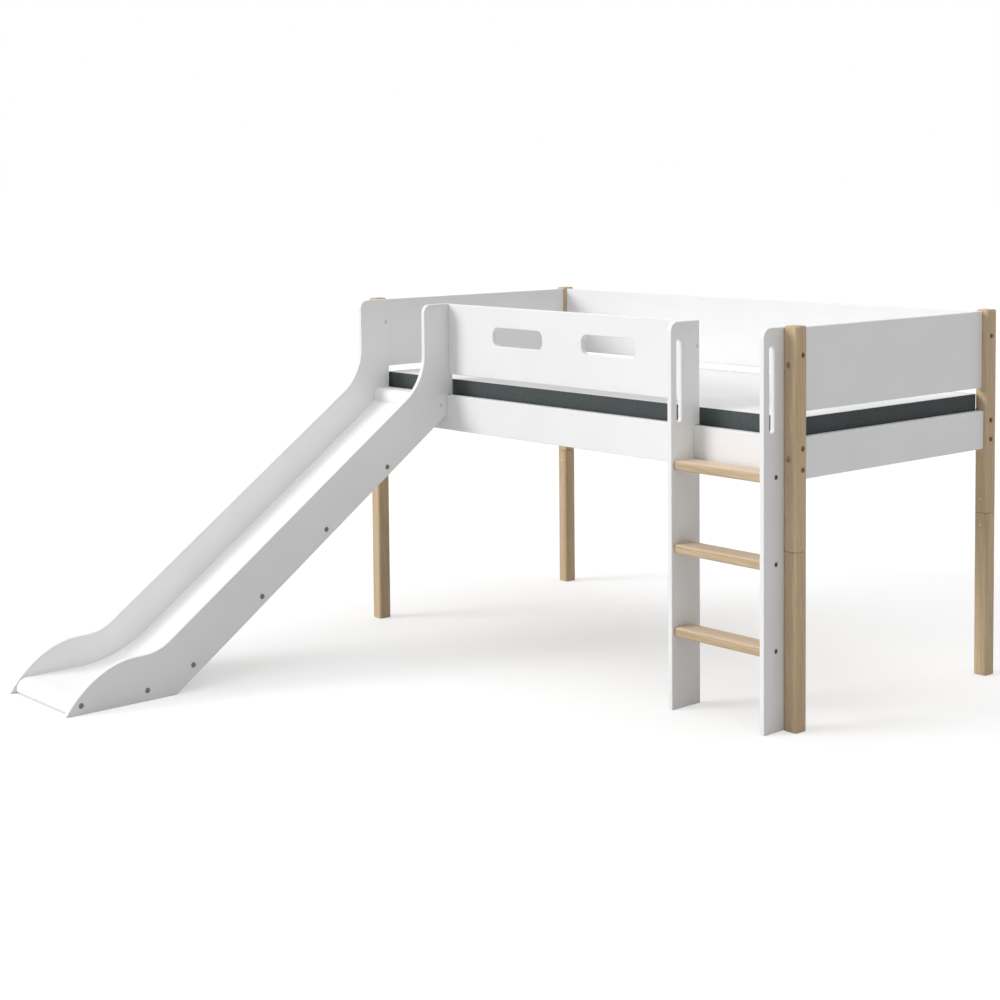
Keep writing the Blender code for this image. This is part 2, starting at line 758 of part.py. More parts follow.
def bore_mesh(grip):
    """The stepped hole that a bolt needs, along -Z from the post's face."""
    sink = BOLT_SINK + BOLT_HEAD_HEIGHT
    depth = POST_SIZE + grip + BOLT_PLAY
    head = BOLT_HEAD_RADIUS + BOLT_PLAY
    shank = BOLT_SHANK_RADIUS + BOLT_PLAY
    return solid_mesh(turned("bolt_bore", [
        (0, OVERRUN),
        (head, OVERRUN),
        (head, -sink - CONTACT),
        (shank, -sink - CONTACT),
        (shank, -depth),
        (0, -depth),
    ], HOLE_SIDES))


def bolt_places(corner):
    """Each bolt of one post: its name, its place, its outward direction and its member."""
    face, side = corner.split("_")
    out_x = X_AXIS if side == "right" else -X_AXIS
    out_y = Y_AXIS if face == "back" else -Y_AXIS
    face_x = out_x.x * post_x
    face_y = back_y if face == "back" else front_y
    in_x = face_x - out_x.x * BOLT_INSET
    in_y = face_y - out_y.y * BOLT_INSET
    front_member = "ladder_side_right" if side == "right" else "slide_side_left"
    upper_member = "back_board" if face == "back" else front_member
    long_rail = f"rail_{face}"
    board_bolt_z = board_top - BOARD_BOLT_DROP
    end_board_bolt_z = board_top - END_BOARD_BOLT_DROP
    rail_bolt_z = rail_bottom + RAIL_HEIGHT / 2
    half_spread = RAIL_BOLT_SPREAD / 2
    return [
        ("long_upper", (face_x, in_y, board_bolt_z), out_x, upper_member),
        ("long_high", (face_x, in_y, rail_bolt_z + half_spread), out_x, long_rail),
        ("long_low", (face_x, in_y, rail_bolt_z - half_spread), out_x, long_rail),
        ("end_upper", (in_x, face_y, end_board_bolt_z), out_y, f"end_board_{side}"),
        ("end_rail", (in_x, face_y, rail_bolt_z), out_y, f"rail_{side}"),
    ]


# The bolts that are modelled whole. The others have their bores here.
WHOLE_BOLTS = {
    "front_right": ("long_upper", "long_high", "long_low", "end_upper", "end_rail"),
    "back_right": ("long_upper", "long_high", "long_low"),
    "front_left": ("end_upper", "end_rail"),
    "back_left": (),
}


def make_bolts(posts, members):
    """Bores each post and the member behind it, and puts the bolts in."""
    side_grip = SIDE_THICKNESS * SIDE_BOLT_SHARE
    bolts = {grip: bolt_mesh(grip) for grip in (BOLT_GRIP, side_grip)}
    bores = {grip: bore_mesh(grip) for grip in (BOLT_GRIP, side_grip)}
    for corner, post in posts.items():
        for kind, place, outward, member in bolt_places(corner):
            grip = side_grip if "side" in member else BOLT_GRIP
            turn = outward.to_track_quat("Z", "Y").to_matrix().to_4x4()
            cutter = add_cutter(f"bore_{corner}_{kind}", bores[grip])
            cutter.matrix_world = Matrix.Translation(place) @ turn
            cut(post, cutter)
            cut(members[member], cutter)
            if kind in WHOLE_BOLTS[corner]:
                name = f"post_bolt_{corner}_{kind}"
                bolt = add_part(name, bolts[grip], BRONZE, SMOOTH_ANGLE)
                seat = Vector(place) - outward * BOLT_SINK
                bolt.matrix_world = Matrix.Translation(seat) @ turn


posts = make_posts()
members = {**make_rails(), **make_boards(), **make_ladder(), **make_slide()}
make_guard()
make_slats()
make_mattress()
make_bolts(posts, members)
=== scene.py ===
import math

import bmesh
import bpy
from mathutils import Matrix, Vector


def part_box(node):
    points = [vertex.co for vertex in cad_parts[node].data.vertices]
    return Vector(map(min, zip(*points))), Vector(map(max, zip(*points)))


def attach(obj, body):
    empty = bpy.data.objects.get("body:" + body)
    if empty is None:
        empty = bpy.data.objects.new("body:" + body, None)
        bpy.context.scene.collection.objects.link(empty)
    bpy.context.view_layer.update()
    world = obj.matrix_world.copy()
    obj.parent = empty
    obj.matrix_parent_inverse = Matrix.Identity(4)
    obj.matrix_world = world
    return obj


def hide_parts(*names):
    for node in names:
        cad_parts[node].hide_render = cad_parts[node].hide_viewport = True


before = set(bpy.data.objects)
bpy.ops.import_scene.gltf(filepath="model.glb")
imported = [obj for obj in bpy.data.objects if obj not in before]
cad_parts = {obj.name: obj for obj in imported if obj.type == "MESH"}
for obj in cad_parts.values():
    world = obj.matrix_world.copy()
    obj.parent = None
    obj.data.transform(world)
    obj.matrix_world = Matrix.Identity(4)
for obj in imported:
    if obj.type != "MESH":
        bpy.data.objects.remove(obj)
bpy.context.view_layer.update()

# The room: a white studio floor that runs into a white background. One soft lamp stands
# low in front of the bed on its left, and a pale ceiling lights all that faces up.

FLOOR_ACROSS = 160
FLOOR_SEEN = (0.700, 0.702, 0.706, 1)
FLOOR_AS_LIGHT = (0.550, 0.552, 0.556, 1)
FLOOR_GLOW = 0.48
CEILING_LIGHT = 1.62
WALL_LIGHT = 0.02
LAMP_LIGHT = 1.90
LAMP_SPREAD = math.radians(26)
LAMP_PLACE = (-4, -5, 3)
LAMP_WAY = (-0.50, -0.78, 0.37)


class Wire:
    """One output of a shader node. Sums and products of wires add their Math nodes."""

    def __init__(self, tree, socket=None):
        self.tree = tree
        self.socket = socket

    def node(self, kind, settings, sockets, output=0):
        """Adds a node: its settings first, then the value or the wire of each socket."""
        node = self.tree.nodes.new(kind)
        for name, value in settings.items():
            setattr(node, name, value)
        for name, value in sockets.items():
            if isinstance(value, Wire):
                self.tree.links.new(value.socket, node.inputs[name])
            else:
                node.inputs[name].default_value = value
        return Wire(self.tree, node.outputs[output])

    def math(self, operation, *values):
        sockets = dict(enumerate(values))
        return self.node("ShaderNodeMath", {"operation": operation}, sockets)

    def __add__(self, other):
        return self.math("ADD", self, other)

    def __sub__(self, other):
        return self.math("SUBTRACT", self, other)

    def __rsub__(self, other):
        return self.math("SUBTRACT", other, self)

    def __mul__(self, other):
        return self.math("MULTIPLY", self, other)

    def __pow__(self, other):
        return self.math("POWER", self, other)

    __radd__ = __add__
    __rmul__ = __mul__

    def between(self, low, high):
        """0 below low, 1 above high, and a smooth step between them."""
        sockets = {"Value": self, "From Min": low, "From Max": high}
        return self.node("ShaderNodeMapRange", {"interpolation_type": "SMOOTHSTEP"}, sockets)

    def choose(self, first, second):
        """The first colour where this wire is 0, and the second where it is 1."""
        colours = {0: self, 6: first, 7: second}
        return self.node("ShaderNodeMix", {"data_type": "RGBA"}, colours, 2)


def start_finish(name):
    """A new material, its shader, and the wire that the nodes of its pattern start from."""
    finish = bpy.data.materials.new(name)
    finish.use_nodes = True
    return finish, finish.node_tree.nodes["Principled BSDF"], Wire(finish.node_tree)


def plug(shader, **sockets):
    """Sets or wires sockets of a shader, named with _ for each space."""
    for name, value in sockets.items():
        socket = shader.inputs[name.replace("_", " ")]
        if isinstance(value, Wire):
            value.tree.links.new(value.socket, socket)
        else:
            socket.default_value = value


def seen_straight(wires):
    """1 for what the camera sees directly, or in metal or glass, and 0 for plain light."""
    rays = ("Is Camera Ray", "Is Glossy Ray", "Is Transmission Ray")
    camera, glossy, through = [wires.node("ShaderNodeLightPath", {}, {}, ray) for ray in rays]
    every = camera + glossy + through
    return every.math("MINIMUM", every, 1.0)


bpy.ops.object.select_all(action="DESELECT")
bpy.ops.mesh.primitive_plane_add(size=FLOOR_ACROSS)
floor = bpy.context.object
floor.name = "studio_floor"
white_floor, shader, wires = start_finish("white_floor")
direct = seen_straight(wires)
paint = direct.choose(FLOOR_SEEN, FLOOR_AS_LIGHT)
plug(shader, Base_Color=paint, Roughness=0.9, Specular_IOR_Level=0.0)
plug(shader, Emission_Color=(1, 1, 1, 1), Emission_Strength=direct * FLOOR_GLOW)
floor.data.materials.append(white_floor)

world = bpy.data.worlds.new("white_room")
world.use_nodes = True
bpy.context.scene.world = world
wires = Wire(world.node_tree)
toward = wires.node("ShaderNodeTexCoord", {}, {}, "Generated")
height = wires.node("ShaderNodeSeparateXYZ", {}, {0: toward}, "Z")
ceiling = height.math("MAXIMUM", height, 0.0) ** 2.0
direct = seen_straight(wires)
strength = direct + (1 - direct) * (ceiling * CEILING_LIGHT + WALL_LIGHT)
plug(world.node_tree.nodes["Background"], Color=(1, 1, 1, 1), Strength=strength)

bpy.ops.object.light_add(type="SUN", location=LAMP_PLACE)
lamp = bpy.context.object
lamp.name = "soft_lamp"
lamp.data.energy = LAMP_LIGHT
lamp.data.angle = LAMP_SPREAD
lamp.matrix_world = Matrix.Translation(LAMP_PLACE) @ (
    Vector(LAMP_WAY).to_track_quat("Z", "Y").to_matrix().to_4x4()
)

# The camera: it stands off the bed's right front corner, a little higher than an eye that
# looks along the bed, and the picture is moved in the frame and not the view.

CAMERA_PLACE = (4.6140, -3.9303, 1.6297)
CAMERA_TURN = 0.8431
CAMERA_DIP = 0.0674
CAMERA_ROLL = -0.0081

bpy.ops.object.camera_add()
camera = bpy.context.object
camera.data.sensor_width = 36
camera.data.lens = 67.59
camera.data.shift_x = -0.04
camera.data.shift_y = -0.19
camera.matrix_world = (
    Matrix.Translation(CAMERA_PLACE)
    @ Matrix.Rotation(CAMERA_TURN, 4, "Z")
    @ Matrix.Rotation(math.pi / 2 - CAMERA_DIP, 4, "X")
    @ Matrix.Rotation(CAMERA_ROLL, 4, "Z")
)
bpy.context.scene.camera = camera
bpy.context.scene.view_settings.view_transform = "Standard"

# The corner posts and the leg under each: solid oak, planed square with rounded edges and
# oiled. A dowel joins leg to post, and two bored rows take the bolts of rails and boards.

POST_ROUND = 0.010
TOP_ROUND = 0.006
FOOT_ROUND = 0.002
JOINT_EASE = 0.0024
BOLT_IN = 0.030
LONG_BOARD_BOLT_Z = 1.122
LONG_RAIL_BOLTS_Z = (0.846, 0.783)
END_BOARD_BOLT_Z = 1.092
END_RAIL_BOLT_Z = 0.8145
BOLT_BORE = 0.0089
BOLT_HEAD = 0.0085
BOLT_HEIGHT = 0.0040
BORE_SPARE = 0.0003
LONG_SUNK = 0.0055
END_SUNK = 0.0020
corners = [f"{face}_{side}" for face in ("front", "back") for side in ("left", "right")]


def raised(wires, relief, strength, depth):
    """The Normal wire of a relief that stands up from the surface."""
    sockets = {"Strength": strength, "Distance": depth, "Height": relief}
    return wires.node("ShaderNodeBump", {}, sockets)


def wood(
    name, along, pale, brown, shift=(0.0, 0.0, 0.0), fine=1.0, figure=0.5, gloss=0.52, painted_top_light=0.0
):
    """Oiled or bare wood: streaks, growth rings and pores that run along one axis. Faces that
    point up can be painted paler, as painted light from above."""
    finish, shader, wires = start_finish(name)
    place = wires.node("ShaderNodeTexCoord", {}, {}, "Object")

    def stretched(scale, run):
        size = [scale] * 3
        size[along] = scale * run
        sockets = {"Vector": place, "Location": shift, "Scale": size}
        return wires.node("ShaderNodeMapping", {"vector_type": "POINT"}, sockets)

    def noise(vector, detail, rough, bend):
        sockets = {"Vector": vector, "Scale": 1.0, "Detail": detail}
        sockets.update({"Roughness": rough, "Distortion": bend})
        return wires.node("ShaderNodeTexNoise", {}, sockets)

    broad = noise(stretched(26, 0.05), 2.0, 0.5, 0.9)
    streak = noise(stretched(150, 0.022), 4.0, 0.6, 0.3)
    thread = noise(stretched(620 * fine, 0.012), 3.0, 0.65, 0.1)
    rings = wires.node(
        "ShaderNodeTexWave",
        {"wave_type": "BANDS", "bands_direction": "DIAGONAL", "wave_profile": "SAW"},
        {
            "Vector": stretched(1.0, 0.09),
            "Scale": 34.0,
            "Distortion": 5.0,
            "Detail": 2.0,
            "Detail Scale": 1.4,
            "Detail Roughness": 0.55,
        },
    )
    pore = noise(stretched(1150 * fine, 0.016), 1.0, 0.4, 0.0).between(0.60, 0.72)
    tone = broad * (0.42 + figure * 0.2) + streak * 0.34 + thread * 0.22 + rings * (figure * 0.22)
    tone = tone.between(0.30, 0.86)
    colour = tone.choose((*pale, 1), (*brown, 1))
    dark = [channel * 0.45 for channel in brown]
    colour = (pore * 0.42).choose(colour, (*dark, 1))
    # painted light: faces that point up blend towards a pale colour, standing in for light from
    # above
    if painted_top_light:
        facing = wires.node("ShaderNodeTexCoord", {}, {}, "Normal")
        lit_from_above = wires.node("ShaderNodeSeparateXYZ", {}, {0: facing}, "Z").between(0.35, 0.95)
        colour = (lit_from_above * painted_top_light).choose(colour, (0.98, 0.84, 0.66, 1))
    relief = thread * 0.5 - pore * 0.9 - tone * 0.3
    bump = raised(wires, relief, 0.35, 0.0004)
    plug(shader, Base_Color=colour, Roughness=gloss + thread * 0.14, Normal=bump)
    return finish


def block(name, low, high):
    """A new block between two corners, left open in edit mode."""
    low, high = Vector(low), Vector(high)
    bpy.ops.object.select_all(action="DESELECT")
    bpy.ops.mesh.primitive_cube_add(size=1, location=(low + high) / 2, scale=high - low)
    piece = bpy.context.object
    piece.name = piece.data.name = name
    bpy.ops.object.transform_apply()
    bpy.ops.object.mode_set(mode="EDIT")
    return piece


def pick(kind, test):
    """Selects only the faces or edges of the piece in hand that pass a test."""
    bpy.ops.mesh.select_mode(type={"faces": "FACE", "edges": "EDGE"}[kind])
    bpy.ops.mesh.select_all(action="DESELECT")
    mesh = bmesh.from_edit_mesh(bpy.context.object.data)
    for item in [item for item in getattr(mesh, kind) if test(item)]:
        item.select_set(True)
    bmesh.update_edit_mesh(bpy.context.object.data)


def round_over(along, radius, ease, segments=4):
    """Rounds the long edges of the block in hand, and eases the rims of its two ends."""
    mesh = bmesh.from_edit_mesh(bpy.context.object.data)
    ends = [limit(vert.co[along] for vert in mesh.verts) for limit in (min, max)]
    pick("edges", lambda edge: abs(edge.verts[0].co[along] - edge.verts[1].co[along]) > 0.001)
    bpy.ops.mesh.bevel(offset=radius, segments=segments, affect="EDGES")
    for end, size in zip(ends, ease):
        pick("edges", lambda edge: all(abs(v.co[along] - end) < 0.00001 for v in edge.verts))
        steps = max(2, round(size / 0.0015))
        bpy.ops.mesh.bevel(offset=size, segments=steps, affect="EDGES")


def bore(piece, place, outward, radius, depth):
    """Bores a flat-bottomed hole into a piece, square to the face that it starts from."""
    bpy.ops.object.select_all(action="DESELECT")
    turn = Vector(outward).to_track_quat("Z", "Y").to_euler()
    bpy.ops.mesh.primitive_cylinder_add(
        vertices=28, radius=radius, depth=2 * depth, location=place, rotation=turn
    )
    cutter = bpy.context.object
    bpy.context.view_layer.objects.active = piece
    hole = piece.modifiers.new("hole", "BOOLEAN")
    hole.object = cutter
    bpy.ops.object.modifier_apply(modifier=hole.name)
    bpy.data.objects.remove(cutter)


def set_down(piece, finish, slot, *stands_for, body="frame", angle=32):
    """Smooths a piece's rounded edges, gives it its finish and fixes it to its body."""
    if piece.mode == "EDIT":
        bpy.ops.object.mode_set(mode="OBJECT")
    bpy.ops.object.select_all(action="DESELECT")
    bpy.context.view_layer.objects.active = piece
    piece.select_set(True)
    bpy.ops.object.transform_apply()
    bpy.ops.object.shade_smooth_by_angle(angle=math.radians(angle))
    evened = piece.modifiers.new("flat_faces", "WEIGHTED_NORMAL")
    evened.keep_sharp = True
    bpy.ops.object.modifier_apply(modifier=evened.name)
    piece.data.materials.clear()
    piece.data.materials.append(finish)
    if stands_for:
        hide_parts(*stands_for)
    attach(piece, body)
    return piece


OAK_PALE = (0.660, 0.505, 0.324)
OAK_BROWN = (0.470, 0.340, 0.198)
post_oak = wood("post_oak", 2, OAK_PALE, OAK_BROWN)
leg_oak = wood("leg_oak", 2, OAK_PALE, OAK_BROWN, shift=(3.1, 1.7, 5.2))

bolt_seats = []
for corner in corners:
    low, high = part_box(f"post_{corner}")
    face, side = corner.split("_")
    out_x = Vector((1 if side == "right" else -1, 0, 0))
    out_y = Vector((0, 1 if face == "back" else -1, 0))
    outer_x = high.x if side == "right" else low.x
    outer_y = high.y if face == "back" else low.y
    inner_x, inner_y = outer_x - out_x.x * BOLT_IN, outer_y - out_y.y * BOLT_IN
    seats = [
        ("long_upper", Vector((outer_x, inner_y, LONG_BOARD_BOLT_Z)), out_x),
        ("long_high", Vector((outer_x, inner_y, LONG_RAIL_BOLTS_Z[0])), out_x),
        ("long_low", Vector((outer_x, inner_y, LONG_RAIL_BOLTS_Z[1])), out_x),
        ("end_upper", Vector((inner_x, outer_y, END_BOARD_BOLT_Z)), out_y),
        ("end_rail", Vector((inner_x, outer_y, END_RAIL_BOLT_Z)), out_y),
    ]
    post = block(f"oak_post_{corner}", low, high)
    round_over(2, POST_ROUND, (JOINT_EASE, TOP_ROUND), 6)
    bpy.ops.object.mode_set(mode="OBJECT")
    for kind, place, outward in seats:
        sunk = LONG_SUNK if kind.startswith("long") else END_SUNK
        bore(post, place, outward, BOLT_BORE, sunk + BOLT_HEIGHT + BORE_SPARE)
        bolt_seats.append((f"{corner}_{kind}", place - outward * sunk, outward))
    set_down(post, post_oak, "oak", f"post_{corner}")

    leg = block(f"oak_leg_{corner}", *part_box(f"leg_{corner}"))
    round_over(2, POST_ROUND, (FOOT_ROUND, JOINT_EASE), 6)
    set_down(leg, leg_oak, "oak", f"leg_{corner}")

# The dowels inside the leg joints, of beech, and the two pins across each joint. Only the
# pale ends of the pins show, on the side of each post that faces the middle of the bed.

PIN_RADIUS = 0.0036
PIN_LENGTH = 0.024
PIN_PROUD = 0.0004
PIN_HEIGHTS = (0.586, 0.500)
pin_beech = wood("pin_beech", 1, (0.86, 0.74, 0.56), (0.72, 0.58, 0.40), fine=1.4)
dowel_beech = wood("dowel_beech", 2, (0.74, 0.58, 0.40), (0.62, 0.46, 0.29))
for corner in corners:
    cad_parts[f"leg_dowel_{corner}"].material_slots[0].material = dowel_beech
bpy.ops.object.select_all(action="DESELECT")
bpy.ops.mesh.primitive_cylinder_add(
    vertices=28, radius=PIN_RADIUS, depth=PIN_LENGTH, rotation=(math.pi / 2, 0, 0)
)
first_pin = bpy.context.object
bpy.ops.object.transform_apply()
bpy.ops.object.mode_set(mode="EDIT")
pick("edges", lambda edge: abs(edge.verts[0].co.y - edge.verts[1].co.y) < 0.0001)
bpy.ops.mesh.bevel(offset=0.0007, segments=3, affect="EDGES")
bpy.ops.object.mode_set(mode="OBJECT")
for corner in corners:
    low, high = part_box(f"post_{corner}")
    face_y, inward = (low.y, 1) if "back" in corner else (high.y, -1)
    for number, height in enumerate(PIN_HEIGHTS):
        depth = inward * (PIN_LENGTH / 2 - PIN_PROUD)
        place = Vector(((low.x + high.x) / 2, face_y + depth, height))
        pin = first_pin.copy()
        pin.data = first_pin.data.copy()
        pin.name = f"joint_pin_{corner}_{number + 1}"
        bpy.context.scene.collection.objects.link(pin)
        pin.data.transform(Matrix.Translation(place))
        set_down(pin, pin_beech, "dowel_beech")
bpy.data.objects.remove(first_pin)

# The bolts that hold the rails and the boards to the posts: steel, plated dark bronze,
# with a turned head and a six-sided socket. They sit in bores, a little below the oak.

BOLT_SOCKET = 0.0042
BOLT_SHANK = 0.0030
RAIL_BOLT_LENGTH = 0.0800
SIDE_BOLT_LENGTH = 0.0550


def metal(name, colour, worn, gloss):
    """Plated steel, a little mottled, and brighter where a key has rubbed it."""
    finish, shader, wires = start_finish(name)
    place = wires.node("ShaderNodeTexCoord", {}, {}, "Object")
    speck = wires.node("ShaderNodeTexNoise", {}, {"Vector": place, "Scale": 900.0, "Detail": 3.0})
    cloud = wires.node("ShaderNodeTexNoise", {}, {"Vector": place, "Scale": 240.0, "Detail": 2.0})
    rubbed = (speck * 0.5 + cloud * 0.5).between(0.50, 0.68)
    bump = raised(wires, speck, 0.2, 0.0002)
    plug(shader, Base_Color=rubbed.choose((*colour, 1), (*worn, 1)), Metallic=1.0)
    plug(shader, Roughness=gloss + cloud * 0.16, Normal=bump)
    return finish


def fastener(head, height, socket, shank, length):
    """A bolt or screw along -Z, its head's face at the origin, with a hex socket."""
    bpy.ops.object.select_all(action="DESELECT")
    bpy.ops.mesh.primitive_cylinder_add(
        vertices=32, radius=head, depth=height, location=(0, 0, -height / 2)
    )
    piece = bpy.context.object
    bpy.ops.object.transform_apply()
    bpy.ops.object.mode_set(mode="EDIT")
    pick("edges", lambda edge: all(vert.co.z > -0.00001 for vert in edge.verts))
    bpy.ops.mesh.bevel(offset=head * 0.22, segments=4, affect="EDGES")
    pick("faces", lambda face: face.normal.z < -0.9)
    bpy.ops.mesh.inset(thickness=head - shank)
    bpy.ops.mesh.extrude_region_move(TRANSFORM_OT_translate={"value": (0, 0, -length)})
    bpy.ops.mesh.bevel(offset=shank * 0.3, segments=1, affect="EDGES")
    bpy.ops.object.mode_set(mode="OBJECT")
    bpy.ops.object.select_all(action="DESELECT")
    bpy.ops.mesh.primitive_cylinder_add(vertices=6, radius=socket, depth=height * 1.3)
    key = bpy.context.object
    bpy.context.view_layer.objects.active = piece
    hole = piece.modifiers.new("socket", "BOOLEAN")
    hole.object = key
    bpy.ops.object.modifier_apply(modifier=hole.name)
    bpy.data.objects.remove(key)
    return piece


def drive(master, name, place, outward, finish, slot, *stands_for):
    """A copy of a fastener, with its own mesh, driven in at a place."""
    piece = master.copy()
    piece.data = master.data.copy()
    piece.name = piece.data.name = name
    bpy.context.scene.collection.objects.link(piece)
    turn = Vector(outward).to_track_quat("Z", "Y").to_matrix().to_4x4()
    piece.data.transform(Matrix.Translation(place) @ turn)
    return set_down(piece, finish, slot, *stands_for)


bronze = metal("dark_bronze", (0.400, 0.300, 0.215), (0.72, 0.61, 0.50), 0.15)
rail_bolt = fastener(BOLT_HEAD, BOLT_HEIGHT, BOLT_SOCKET, BOLT_SHANK, RAIL_BOLT_LENGTH)
side_bolt = fastener(BOLT_HEAD, BOLT_HEIGHT, BOLT_SOCKET, BOLT_SHANK, SIDE_BOLT_LENGTH)
for name, place, outward in bolt_seats:
    nodes = [f"post_bolt_{name}"] if f"post_bolt_{name}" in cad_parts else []
    master = side_bolt if name.startswith("front") and name.endswith("long_upper") else rail_bolt
    drive(master, f"bolt_{name}", place, outward, bronze, "dark_bronze", *nodes)
bpy.data.objects.remove(rail_bolt)
bpy.data.objects.remove(side_bolt)

# The rails and boards round the mattress: panel cut to size, its long edges rounded, and
# sprayed with white satin lacquer. They stand between the posts, drawn up by the bolts.

BOARD_ROUND = 0.0025
BOARD_EASE = 0.0010


def lacquer(name, colour=(0.862, 0.863, 0.865), gloss=0.36):
    """Sprayed satin lacquer: almost even, with the faint ripple and dust of a spray gun."""
    finish, shader, wires = start_finish(name)
    place = wires.node("ShaderNodeTexCoord", {}, {}, "Object")
    cloud = wires.node("ShaderNodeTexNoise", {}, {"Vector": place, "Scale": 5.0, "Detail": 3.0})
    ripple = wires.node("ShaderNodeTexNoise", {}, {"Vector": place, "Scale": 230.0, "Detail": 2.0})
    dust = wires.node("ShaderNodeTexNoise", {}, {"Vector": place, "Scale": 1500.0, "Detail": 1.0})
    shade = [channel * 0.965 for channel in colour]
    tint = (cloud * 0.7 + ripple * 0.3).between(0.30, 0.75).choose((*colour, 1), (*shade, 1))
    relief = ripple + dust * 0.25
    bump = raised(wires, relief, 0.10, 0.0003)
    plug(shader, Base_Color=tint, Roughness=gloss + cloud * 0.10 - 0.05, Normal=bump)
    plug(shader, Specular_IOR_Level=0.35)
    return finish


white_lacquer = lacquer("white_lacquer")
for name, along in (
    ("rail_front", 0),
    ("rail_back", 0),
    ("rail_left", 1),
    ("rail_right", 1),
    ("back_board", 0),
    ("end_board_left", 1),
    ("end_board_right", 1),
):
    board = block(f"white_{name}", *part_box(name))
    round_over(along, BOARD_ROUND, (BOARD_EASE, BOARD_EASE))
    set_down(board, white_lacquer, "white_lacquer", name)

# The front guard, from the slide to the ladder: the same white board, with two long hand
# holes cut through it and their rims rounded. Screws through the two sides hold its ends.

HOLE_LENGTH = 0.255
HOLE_HEIGHT = 0.065
HOLE_DROP = 0.071
HOLE_ROUND = 0.025
HOLES_AT = (-0.225, 0.225)


def draw(curve, corners):
    """Adds a closed line to a flat curve. A corner is (u, v, radius of its arc), and a
    point that a free curve leaves or meets has its two handles instead, of which None
    runs straight. No corner is sharper than the rim's own rounding lets it be."""
    knots = []
    for index, (u, v, *more) in enumerate(corners):
        here = Vector((u, v))
        if len(more) == 2:
            knots.append((here, *[here if handle is None else Vector(handle) for handle in more]))
            continue
        back = (Vector(corners[index - 1][:2]) - here).normalized()
        ahead = (Vector(corners[(index + 1) % len(corners)][:2]) - here).normalized()
        radius = max(more[0], curve.bevel_depth * 1.15)
        half = back.angle(ahead) / 2
        reach = radius / math.tan(half)
        held = reach - radius * math.tan((math.pi / 2 - half) / 2) * 4 / 3
        first, last = here + back * reach, here + ahead * reach
        knots.append((first, first, here + back * held))
        knots.append((last, here + ahead * held, last))
    spline = curve.splines.new("BEZIER")
    spline.bezier_points.add(len(knots) - 1)
    spline.use_cyclic_u = True
    spline.resolution_u = 10
    for point, (place, before, after) in zip(spline.bezier_points, knots):
        point.handle_left_type = "VECTOR" if before == place else "FREE"
        point.handle_right_type = "VECTOR" if after == place else "FREE"
        point.co = (*place, 0)
        point.handle_left = (*before, 0)
        point.handle_right = (*after, 0)


def sawn(name, lines, thickness, edge, facing, middle):
    """A board cut to flat lines, the first its outline and the others its holes, with
    its rims rounded. The lines are (Y, Z) where it faces X, and (X, Z) where it faces Y."""
    curve = bpy.data.curves.new(name, "CURVE")
    curve.dimensions = "2D"
    curve.fill_mode = "BOTH"
    curve.extrude = thickness / 2 - edge
    curve.bevel_depth = edge
    curve.bevel_resolution = 2
    curve.offset = -edge
    for corners in lines:
        draw(curve, corners)
    piece = bpy.data.objects.new(name, curve)
    bpy.context.scene.collection.objects.link(piece)
    bpy.ops.object.select_all(action="DESELECT")
    bpy.context.view_layer.objects.active = piece
    piece.select_set(True)
    bpy.ops.object.convert(target="MESH")
    # stood up, so that the flat line's two directions become those of the docstring
    if facing == "X":
        piece.matrix_world = Matrix(((0, 0, 1, middle), (1, 0, 0, 0), (0, 1, 0, 0), (0, 0, 0, 1)))
    else:
        piece.matrix_world = Matrix(((1, 0, 0, 0), (0, 0, -1, middle), (0, 1, 0, 0), (0, 0, 0, 1)))
    bpy.ops.object.transform_apply()
    bpy.ops.object.mode_set(mode="EDIT")
    bpy.ops.mesh.select_all(action="SELECT")
    bpy.ops.mesh.remove_doubles(threshold=0.00002)
    bpy.ops.mesh.normals_make_consistent(inside=False)
    bpy.ops.object.mode_set(mode="OBJECT")
    return piece


low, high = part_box("guard_board")
lines = [[(low.x, low.z, 0), (high.x, low.z, 0), (high.x, high.z, 0), (low.x, high.z, 0)]]
for middle_x in HOLES_AT:
    x0, x1 = middle_x - HOLE_LENGTH / 2, middle_x + HOLE_LENGTH / 2
    z0, z1 = high.z - HOLE_DROP - HOLE_HEIGHT, high.z - HOLE_DROP
    hole = [(x0, z0), (x0, z1), (x1, z1), (x1, z0)]
    lines.append([(x, z, HOLE_ROUND) for x, z in hole])
guard = sawn("white_guard_board", lines, high.y - low.y, BOARD_ROUND, "Y", (low.y + high.y) / 2)
set_down(guard, white_lacquer, "white_lacquer", "guard_board")

# The slats and the ledges that carry them: planed pine with its edges taken off, screwed
# inside the two long rails. They show only from below and when the mattress is up.

PINE_PALE = (0.80, 0.655, 0.455)
PINE_DEEP = (0.66, 0.485, 0.290)
planed = {"fine": 0.7, "figure": 0.9, "gloss": 0.58}
slat_pine = wood("slat_pine", 1, PINE_PALE, PINE_DEEP, **planed)
ledge_pine = wood("ledge_pine", 0, PINE_PALE, PINE_DEEP, shift=(2.3, 0.4, 1.1), **planed)
for name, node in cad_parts.items():
    if name.startswith("slat_ledge") or name.startswith("slide_batten"):
        node.material_slots[0].material = ledge_pine
    elif name.startswith("slat_"):
        node.material_slots[0].material = slat_pine

# The ladder: two white sides notched round the front rail, each with a long slot to hold
# on by, and three oak rungs between them that are screwed through the sides.

